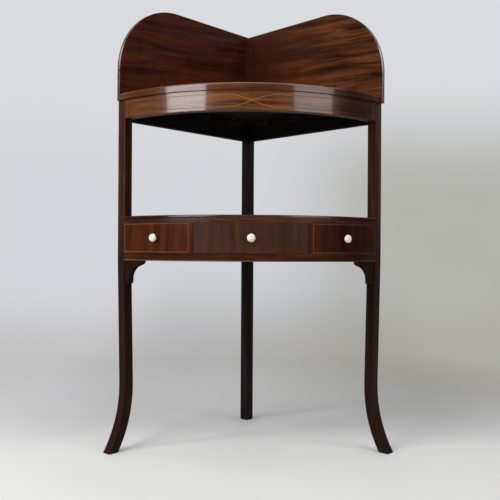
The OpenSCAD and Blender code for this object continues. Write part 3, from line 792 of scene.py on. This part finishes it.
def nail_head(shape, place, facing, turn, width):
    """A cut nail's head: longer than wide, with a hammered crown."""
    axes = head_axes(place, facing, turn)
    crown(shape, [
        arc(shape, axes, width / 2 * share, width / 3 * share, height, NAIL_SIDES)
        for share, height in NAIL_CROWN
    ])


def screw_head(shape, place, facing, turn, width, slot):
    """A countersunk head: a disc with two half moons on it that leave the slot between them."""
    axes = head_axes(place, facing, turn)
    crown(shape, [arc(shape, axes, width / 2, width / 2, h, SCREW_SIDES) for h in SCREW_DISC])
    for half in (0, math.pi):
        rings = []
        for shrink, height in SCREW_MOON:
            radius = width / 2 - shrink
            open_turn = math.asin((slot / 2 + shrink) / radius)
            start, sweep = half + open_turn, math.pi - 2 * open_turn
            rings.append(
                arc(shape, axes, radius, radius, height, SCREW_SIDES // 2, start, sweep)
            )
        crown(shape, rings)


# --- operators -------------------------------------------------------------------------------


class WASHSTAND_OT_legs(bpy.types.Operator):
    """Eases the three legs and the two brackets and polishes them"""

    bl_idname = "washstand.legs"
    bl_label = "Legs and brackets"
    bl_options = {"REGISTER", "UNDO"}

    def execute(self, context):
        sizes = context.scene.washstand_sizes
        stile = leg_wood("mahogany_leg", "up", 11, contrast=0.7, ribbon=(0.40, 0.012))
        line = boxwood("boxwood_leg_line", "up", 12, dull="leg_line", polish=RUBBED)
        for side in SIDES:
            ease(f"leg_front_{side}", stile, sizes.arris)
            ease(f"bracket_{side}", stile, sizes.fine_arris)
            coat(line, f"leg_stringing_{side}")
        # The back leg's dark tone is stain with a painted shade of the corner.
        ease("leg_back", plain_wood("stained_leg", "stained", "up", 13, WORN_DULL), sizes.arris)
        return {"FINISHED"}


class WASHSTAND_OT_frieze(bpy.types.Operator):
    """Dresses the bow frieze, its inlaid line, the wall rails and the glue blocks"""

    bl_idname = "washstand.frieze"
    bl_label = "Frieze and rails"
    bl_options = {"REGISTER", "UNDO"}

    def execute(self, context):
        sizes = context.scene.washstand_sizes
        veneer = faded("mahogany_frieze", "bow", 21, POLISHED, 0.30, ribbon=(0.22, 0.012))
        ease("frieze_front", veneer, sizes.fine_arris)
        line = boxwood("boxwood_frieze_line", "bow", 22, 0.09, "frieze_line")
        inlay("frieze_stringing", line, sizes.inlay_proud)
        for seed, side in enumerate(SIDES, 23):
            rail = plain_wood(f"stained_rail_{side}", "stained", side, seed, THIN)
            ease(f"frieze_rail_{side}", rail, sizes.arris)
        block = plain_wood("deal_block", "block", "across", 25)
        ease("frieze_glue_blocks", block, sizes.fine_arris)
        return {"FINISHED"}


class WASHSTAND_OT_top(bpy.types.Operator):
    """Dresses the moulded edge, the board under it and the marble slab"""

    bl_idname = "washstand.top"
    bl_label = "Top and slab"
    bl_options = {"REGISTER", "UNDO"}

    def execute(self, context):
        sizes = context.scene.washstand_sizes
        edge = faded("mahogany_edge", "bow", 31, SOFTENED, 0.75, ribbon=(0.30, 0.016))
        ease("top_edge", edge, sizes.fine_arris)
        board = plain_wood("underside_board", "underside", "across", 32, THIN)
        ease("top_board", board, sizes.fine_arris)
        ease("marble_slab", marble("marble_slab"), sizes.arris)
        return {"FINISHED"}


class WASHSTAND_OT_splashbacks(bpy.types.Operator):
    """Dresses the two splashbacks, the fillet in their angle and their dowels"""

    bl_idname = "washstand.splashbacks"
    bl_label = "Splashbacks"
    bl_options = {"REGISTER", "UNDO"}

    def execute(self, context):
        sizes = context.scene.washstand_sizes
        tints = context.scene.washstand_colours
        # Painted shade: the right splashback darker and redder towards the corner.
        inner = Shade(X, 0.20, 0.03, tints.red_shade, 0.88)
        quiet = timber(
            "mahogany_splashback_left", "left", 41, streaked(tints.quiet_board, 0.38, 1.9), FLAT,
            tilt=math.radians(-6), ribbon=(0.30, 0.014), contrast=0.85, streak=1.3, shaded_arrises=True,
        )
        lively = timber(
            "mahogany_splashback_right", "right", 42, streaked(tints.lively_board, 0.32, 2.3), FLAT,
            tilt=math.radians(-3), ribbon=(0.26, 0.020), contrast=1.3, streak=0.8, shaded_arrises=True,
            shades=(inner,),
        )
        for side, board in zip(SIDES, (quiet, lively)):
            ease(f"splashback_{side}", board, sizes.splash_arris, broad=WALLS[side][1])
        # The fillet in the angle takes the painted shade, and its lighter arrises are painted highlights.
        strip = timber(
            "mahogany_fillet", "up", 43, streaked(tints.red_shade, 0.4, 1.2), FLAT,
            worn=tints.dull_boxwood,
        )
        self.slope_top(ease("splashback_fillet", strip, sizes.arris), sizes.fillet_slope)
        coat(plain_wood("deal_dowel", "deal", "up", 44), "splashback_dowels")
        return {"FINISHED"}

    def slope_top(self, strip, drop):
        """Pares the strip's top so that it slopes down to the front."""
        corners = [vertex.co for vertex in strip.data.vertices]
        top = max(co.z for co in corners)
        back = max(co.y for co in corners)
        front = min(co.y for co in corners)
        for co in corners:
            if co.z > top - drop:
                co.z -= drop * (back - co.y) / (back - front)


class WASHSTAND_OT_case(bpy.types.Operator):
    """Dresses the shelf, the rails, the dummy fronts and the hidden boards of the case"""

    bl_idname = "washstand.case"
    bl_label = "Case"
    bl_options = {"REGISTER", "UNDO"}

    def execute(self, context):
        sizes = context.scene.washstand_sizes
        tints = context.scene.washstand_colours
        # Painted shade: the rails and dummy fronts darker to the right, where less light falls, and the low
        # rail also darker at the left and towards the middle.
        left = Shade(X, -0.08, -0.14, tints.heart, 0.40)
        middle = Shade(X, 0.12, 0.02, tints.heart, 0.30)
        right = Shade(X, 0.10, 0.22, tints.heart, 0.72)
        # Painted shade at both ends of the shelf's edge.
        shelf = mahogany(
            "mahogany_shelf", "across", 52, GLEAMING, ribbon=(0.40, 0.030), ends=(0.17, 0.20),
            shades=[Shade(X, hand * 0.13, hand * 0.20, tints.heart, 0.70) for hand in (-1, 1)],
        )
        ease("shelf_board", shelf, sizes.fine_arris)
        top_rail = mahogany(
            "mahogany_rail", "bow", 51, CLOUDED, ribbon=(0.25, 0.010), contrast=0.7,
            shades=(right,), ends=(0.17, 0.24),
        )
        ease("case_top_rail", top_rail, sizes.fine_arris)
        low_rail = mahogany(
            "mahogany_low_rail", "bow", 50, RUBBED, ribbon=(0.25, 0.010), contrast=0.4,
            shades=(left, middle, right),
        )
        ease("case_bottom_rail", low_rail, sizes.fine_arris)
        for seed, side in enumerate(SIDES, 53):
            veneer = timber(
                f"mahogany_dummy_{side}", "up", seed, streaked(tints.case_front, 0.4, 1.5), RUBBED,
                ribbon=(0.24, 0.018), contrast=0.75, worn=tints.worn, shades=(right,),
            )
            ease(f"dummy_front_{side}", veneer, sizes.fine_arris)
            ease(f"muntin_{side}", veneer, sizes.fine_arris)
            back = plain_wood(f"stained_back_{side}", "stained", side, seed + 2, THIN)
            ease(f"case_back_{side}", back, sizes.arris)
        line = boxwood("boxwood_case_line", "bow", 57, polish=RUBBED)
        coat(line, "case_bead")
        inlay("case_stringing", line, sizes.inlay_proud)
        ease("case_bottom_board", plain_wood("deal_board", "deal", "across", 58), sizes.arris)
        runner = plain_wood("deal_runner", "deal", "deep", 59)
        for node in ("drawer_guide_left", "drawer_guide_right", "drawer_kickers", "drawer_stops"):
            ease(node, runner, sizes.fine_arris)
        return {"FINISHED"}


class WASHSTAND_OT_drawer(bpy.types.Operator):
    """Dresses the drawer's front, sides, back and bottom"""

    bl_idname = "washstand.drawer"
    bl_label = "Drawer"
    bl_options = {"REGISTER", "UNDO"}

    def execute(self, context):
        sizes = context.scene.washstand_sizes
        tints = context.scene.washstand_colours
        front = timber(
            "mahogany_drawer_front", "up", 61, streaked(tints.drawer_front, 0.5, 1.6), THIN,
            ribbon=(0.25, 0.014), contrast=0.5, streak=1.6, worn=tints.worn,
        )
        ease("drawer_front", front, sizes.fine_arris)
        side = plain_wood("lining_side", "lining", "deep", 62, worn=tints.worn)
        for hand in SIDES:
            ease(f"drawer_side_{hand}", side, sizes.fine_arris)
        board = plain_wood("lining_board", "lining", "across", 63, worn=tints.worn)
        ease("drawer_back", board, sizes.fine_arris)
        ease("drawer_bottom", board, sizes.fine_arris)
        return {"FINISHED"}


class WASHSTAND_OT_knobs(bpy.types.Operator):
    """Gives the three turned knobs their bone"""

    bl_idname = "washstand.knobs"
    bl_label = "Bone knobs"
    bl_options = {"REGISTER", "UNDO"}

    def execute(self, context):
        coat(bone("bone_knob"), "dummy_knob_left", "dummy_knob_right", "drawer_knob")
        return {"FINISHED"}


class WASHSTAND_OT_fixings(bpy.types.Operator):
    """Drives the nails and screws that show from behind and below"""

    bl_idname = "washstand.fixings"
    bl_label = "Nails and screws"
    bl_options = {"REGISTER", "UNDO"}

    # Places along each wall from the room's corner, and how far in from the wall the screws are.
    NAILS_ALONG = (0.07, 0.16, 0.25, 0.34)
    SCREWS_ALONG = (0.10, 0.29)
    SCREWS_IN = 0.045

    # Bearings of the screws behind the bow, and how far behind it they are.
    BOW_BEARINGS = tuple(math.radians(degrees) for degrees in (-26, 0, 26))
    BOW_BEHIND = 0.030

    # Shares of the drawer's width at which its bottom is nailed.
    DRAWER_SHARES = (0.15, 0.5, 0.85)

    # How much further each head is turned than the last one, in radians.
    CASE_TURN = 0.25
    TOP_TURN = 0.9
    DRAWER_TURN = 0.3

    def execute(self, context):
        sizes = context.scene.washstand_sizes
        metal = iron("iron_fixings")
        self.case_nails(sizes, metal)
        self.top_screws(sizes, metal)
        self.drawer_nails(sizes, metal)
        return {"FINISHED"}

    def case_nails(self, sizes, metal):
        """Through the back boards into the edges of the bottom board."""
        low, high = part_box("case_bottom_board")
        shape = bmesh.new()
        for side, (along, inward) in WALLS.items():
            face = reach(f"case_back_{side}", -inward)
            for number, distance in enumerate(self.NAILS_ALONG):
                place = CORNER + along * distance - inward * face
                place.z = (low.z + high.z) / 2
                nail_head(shape, place, -inward, self.CASE_TURN * number, sizes.nail_head)
        self.drive("case_nails", shape, metal, "stand")

    def top_screws(self, sizes, metal):
        """Up into the board under the top, two along each wall and three behind the bow."""
        shape = bmesh.new()
        places = [
            CORNER + along * distance + inward * self.SCREWS_IN
            for along, inward in WALLS.values()
            for distance in self.SCREWS_ALONG
        ]
        for bearing in self.BOW_BEARINGS:
            way = Vector((math.sin(bearing), -math.cos(bearing), 0))
            places.append(CORNER + way * (BOW_RADIUS - self.BOW_BEHIND))
        for number, place in enumerate(places):
            place.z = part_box("top_board")[0].z
            turn = self.TOP_TURN * number
            screw_head(shape, place, DOWN, turn, sizes.screw_head, sizes.screw_slot)
        self.drive("top_screws", shape, metal, "stand")

    def drawer_nails(self, sizes, metal):
        """Up through the drawer's bottom into its back."""
        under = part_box("drawer_bottom")[0].z
        low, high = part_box("drawer_back")
        shape = bmesh.new()
        for number, share in enumerate(self.DRAWER_SHARES):
            place = Vector((low.x + (high.x - low.x) * share, (low.y + high.y) / 2, under))
            nail_head(shape, place, DOWN, self.DRAWER_TURN * number, sizes.nail_head)
        self.drive("drawer_nails", shape, metal, "drawer")

    def drive(self, name, shape, metal, body):
        """Makes one piece of the heads, which moves with the body they are driven into."""
        bmesh.ops.recalc_face_normals(shape, faces=shape.faces)
        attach(mesh_object(name, shape, metal), body)


class WASHSTAND_OT_stage(bpy.types.Operator):
    """Builds the paper sweep, the dark flat, the softboxes, the room light and the camera"""

    bl_idname = "washstand.stage"
    bl_label = "Studio"
    bl_options = {"REGISTER", "UNDO"}

    # Where the paper's tone changes from left to right, as it is painted dimmer on the right, in metres:
    # where it begins to, and where it has.
    FLOOR_DIMS = (-0.40, 0.80)
    WALL_DIMS = (0.05, 0.88)

    # The same from front to back: for what lies behind the stand, its painted shade and the painted dim
    # side.
    BEHIND = (-0.20, 0.24)
    SHADE_BEGINS = (-0.1, 0.3)
    DIM_BEGINS = (0.0, 0.8)

    # The same from the floor up: for the foot of the wall, the painted shade and the painted light of the
    # upper part.
    WALL_BEGINS = (-0.10, 0.28)
    SHADE_TOP = (0.10, 0.55)
    WALL_BRIGHTENS = (0.75, 1.45)

    # The middle of the painted shade along x, and how far to each side of it the shade gives out.
    SHADE_MIDDLE = 0.1
    SHADE_SIDES = (0.40, 0.85)

    # How far from the stand the paper begins to glow and does, and how large its mottle is.
    GLOW_BEGINS = (0.8, 1.6)
    MOTTLE_SIZE = (0.6, 0.6)

    # What the lamps in front look at, and the place, target and size of the other lamps.
    MIDDLE = Vector((0, 0, 0.55))
    TOP_LAMP = (Vector((0, 0.2, 2.9)), Vector((0, 0.3, 0)), (3.0, 2.2))
    SIDE_LAMP = (Vector((2.30, 0.70, 1.90)), Vector((0, 0, 0.9)), (0.90, 1.0))

    def execute(self, context):
        studio = context.scene.washstand_studio
        tints = context.scene.washstand_colours
        self.paper_sweep(tints)
        self.dark_flat(tints)
        self.front_lamps(studio)
        self.overhead(studio)
        self.room(context, studio, tints)
        self.camera(context, studio)
        context.scene.view_settings.view_transform = "Standard"
        return {"FINISHED"}

    def paper_sweep(self, tints):
        """Floor and backdrop in one sheet, bent up all round the stand: it is close behind it, and
        leaves room for the cameras on the other sides."""
        half_width, front, back, height = 4.6, -5.4, 2.1, 4.5
        bend, bend_steps = 0.80, 16
        corner, corner_steps = 1.6, 8
        shape = bmesh.new()
        levels = []
        for step in range(bend_steps + 1):
            turn = math.radians(90) * step / bend_steps
            levels.append((bend * (1 - math.sin(turn)), bend * (1 - math.cos(turn))))
        levels.append((levels[-1][0], height))
        rows = []
        for inset, level in levels:
            row = []
            for x, y, start in (
                (half_width, back, 0), (-half_width, back, 90),
                (-half_width, front, 180), (half_width, front, 270),
            ):
                centre = Vector((x - math.copysign(corner, x), y - math.copysign(corner, y), level))
                for part in range(corner_steps + 1):
                    way = math.radians(start + 90 * part / corner_steps)
                    out = Vector((math.cos(way), math.sin(way), 0))
                    row.append(shape.verts.new(centre + out * (corner - inset)))
            rows.append(row)
        floor = shape.faces.new(rows[0])
        for low, high in zip(rows, rows[1:]):
            wall_between(shape, low, high)
        for face in shape.faces:
            face.smooth = face is not floor
        mesh_object("paper_sweep", shape, self.paper(tints))

    def paper(self, tints):
        """Pale paper with painted light and shade: brightest in front of the stand and high on the
        backdrop, duller to the right and in a painted shade behind the stand. Away from the stand it glows
        with that tone to what sees it, however little light is there."""
        finish = Finish("studio_paper")
        place = finish.place()
        x, y, z = finish.split(place)
        beyond = finish.between(y, *self.DIM_BEGINS)
        dim = finish.between(x, *self.FLOOR_DIMS) * beyond
        sweep = finish.mix(dim, tints.sweep, tints.dim_sweep)
        floor = finish.mix(finish.between(y, *self.BEHIND), tints.floor, sweep)
        dim = finish.between(x, *self.WALL_DIMS) * beyond
        wall = finish.mix(dim, tints.backdrop, tints.dim_backdrop)
        wall = finish.mix(finish.between(z, *self.WALL_BRIGHTENS), wall, tints.top_backdrop)
        tone = finish.mix(finish.between(z, *self.WALL_BEGINS), floor, wall)
        # Painted shade of the stand on the paper behind it.
        shaded = 1 - finish.between(abs(x - self.SHADE_MIDDLE), *self.SHADE_SIDES)
        shaded = shaded * finish.between(y, *self.SHADE_BEGINS)
        shaded = shaded * (1 - finish.between(z, *self.SHADE_TOP))
        tone = finish.mix(shaded, tone, tints.stand_shade, "MULTIPLY")
        mottle = finish.clouds(place, self.MOTTLE_SIZE, detail=2.0)
        tone = finish.mix((mottle - 0.5) * 0.10, tone, tints.mottle)
        sheet = finish.surface(Base_Color=tone, Roughness=0.62, Specular_IOR_Level=0.3)
        # The paper glows with its painted tone, though it is no lamp.
        glow = finish.node("ShaderNodeEmission", None, {"Color": tone})
        away = finish.between((x * x + y * y) ** 0.5, *self.GLOW_BEGINS) * finish.seen()
        return finish.close(finish.node("ShaderNodeMixShader", None, {0: away, 1: sheet, 2: glow}))

    def dark_flat(self, tints):
        """A dark screen round the front of the studio that only polish sees, as a photographer's
        dim room would be seen in it."""
        radius, foot, height, half_turn, steps = 2.9, 0.02, 3.4, math.radians(94), 24
        shape = bmesh.new()
        posts = []
        for step in range(steps + 1):
            way = half_turn * (2 * step / steps - 1)
            x, y = radius * math.sin(way), -radius * math.cos(way)
            posts.append([shape.verts.new((x, y, z)) for z in (foot, height)])
        for (a, b), (c, d) in zip(posts, posts[1:]):
            shape.faces.new((a, b, d, c))
        finish = Finish("dark_flat").dress(Base_Color=tints.flat, Roughness=0.9)
        flat = mesh_object("dark_flat", shape, finish)
        flat.visible_camera = False
        flat.visible_diffuse = False
        flat.visible_transmission = False
        flat.visible_shadow = False

    def front_lamps(self, studio):
        """A softbox and a small key lamp on each side in front. Polish doesn't show the keys."""
        soft = (studio.lamp_wide, studio.lamp_tall)
        small = (studio.key_size, studio.key_size)
        for name, hand, bearing, rise, size, watts in (
            ("softbox_left", -1, studio.lamp_bearing, studio.lamp_rise, soft, studio.left_watts),
            ("softbox_right", 1, studio.lamp_bearing, studio.lamp_rise, soft, studio.right_watts),
            ("key_left", -1, studio.key_bearing, studio.key_rise, small, studio.left_key),
            ("key_right", 1, studio.key_bearing, studio.key_rise, small, studio.right_key),
        ):
            way = Vector((
                math.cos(rise) * math.sin(hand * bearing),
                -math.cos(rise) * math.cos(hand * bearing),
                math.sin(rise),
            ))
            place = self.MIDDLE + way * studio.lamp_reach
            lamp = self.lamp(name, place, self.MIDDLE, size, watts)
            lamp.visible_glossy = size is soft

    def overhead(self, studio):
        """One lamp over the stand, and one high on each side that edges the splashbacks."""
        self.lamp("softbox_top", *self.TOP_LAMP, studio.top_watts)
        place, target, size = self.SIDE_LAMP
        for side, hand in zip(SIDES, (-1, 1)):
            there = Vector((hand * place.x, place.y, place.z))
            self.lamp(f"softbox_side_{side}", there, target, size, studio.side_watts)

    def lamp(self, name, place, target, size, watts):
        light = bpy.data.lights.new(name, "AREA")
        light.shape = "RECTANGLE"
        light.size, light.size_y = size
        light.energy = watts
        lamp = bpy.data.objects.new(name, light)
        lamp.location = place
        lamp.rotation_euler = (target - place).to_track_quat("-Z", "Y").to_euler()
        lamp.visible_camera = False
        bpy.context.scene.collection.objects.link(lamp)
        return lamp

    def room(self, context, studio, tints):
        """Dim to the stand, and as pale as the paper to what sees it."""
        air = Finish("studio_room", "worlds")
        dim, pale = (
            air.node("ShaderNodeBackground", None, {"Color": tints.daylight, "Strength": strength})
            for strength in (studio.room, studio.seen_room)
        )
        light = air.node("ShaderNodeMixShader", None, {0: air.seen(), 1: dim, 2: pale})
        context.scene.world = air.close(light, "ShaderNodeOutputWorld")

    def camera(self, context, studio):
        """The photograph's own camera, solved from the stand's upright legs and level edges."""
        forward = Vector((
            math.sin(studio.yaw) * math.cos(studio.pitch),
            math.cos(studio.yaw) * math.cos(studio.pitch),
            -math.sin(studio.pitch),
        ))
        level = Vector((math.cos(studio.yaw), -math.sin(studio.yaw), 0))
        down = forward.cross(level)
        right = math.cos(studio.roll) * level + math.sin(studio.roll) * down
        down = math.cos(studio.roll) * down - math.sin(studio.roll) * level
        lens = bpy.data.cameras.new("photo_camera")
        lens.sensor_width = 36
        lens.lens = studio.lens
        camera = bpy.data.objects.new("photo_camera", lens)
        turn = Matrix((right, -down, -forward)).transposed()
        place = CORNER + Vector(studio.camera_place)
        camera.matrix_world = Matrix.Translation(place) @ turn.to_4x4()
        context.scene.collection.objects.link(camera)
        context.scene.camera = camera


STEPS = (
    WASHSTAND_OT_legs,
    WASHSTAND_OT_frieze,
    WASHSTAND_OT_top,
    WASHSTAND_OT_splashbacks,
    WASHSTAND_OT_case,
    WASHSTAND_OT_drawer,
    WASHSTAND_OT_knobs,
    WASHSTAND_OT_fixings,
    WASHSTAND_OT_stage,
)


class VIEW3D_PT_washstand(bpy.types.Panel):
    """The steps that dress the washstand, with the sizes, colours and studio they use"""

    bl_label = "Corner washstand"
    bl_idname = "VIEW3D_PT_washstand"
    bl_space_type = "VIEW_3D"
    bl_region_type = "UI"
    bl_category = "Washstand"

    def draw(self, context):
        steps = self.layout.column(align=True)
        for step in STEPS:
            steps.operator(step.bl_idname)
        for title, group in (
            ("Sizes", context.scene.washstand_sizes),
            ("Colours", context.scene.washstand_colours),
            ("Studio", context.scene.washstand_studio),
        ):
            box = self.layout.box()
            box.label(text=title)
            for name in type(group).__annotations__:
                box.prop(group, name)


GROUPS = {
    "washstand_sizes": WashstandSizes,
    "washstand_colours": WashstandColours,
    "washstand_studio": WashstandStudio,
}


def register():
    for name, group in GROUPS.items():
        bpy.utils.register_class(group)
        setattr(bpy.types.Scene, name, bpy.props.PointerProperty(type=group))
    for step in STEPS:
        bpy.utils.register_class(step)
    bpy.utils.register_class(VIEW3D_PT_washstand)


def unregister():
    bpy.utils.unregister_class(VIEW3D_PT_washstand)
    for step in reversed(STEPS):
        bpy.utils.unregister_class(step)
    for name, group in reversed(GROUPS.items()):
        delattr(bpy.types.Scene, name)
        bpy.utils.unregister_class(group)


def main():
    register()
    for step in STEPS:
        family, verb = step.bl_idname.split(".")
        getattr(getattr(bpy.ops, family), verb)()
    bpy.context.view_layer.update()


if __name__ == "__main__":
    main()
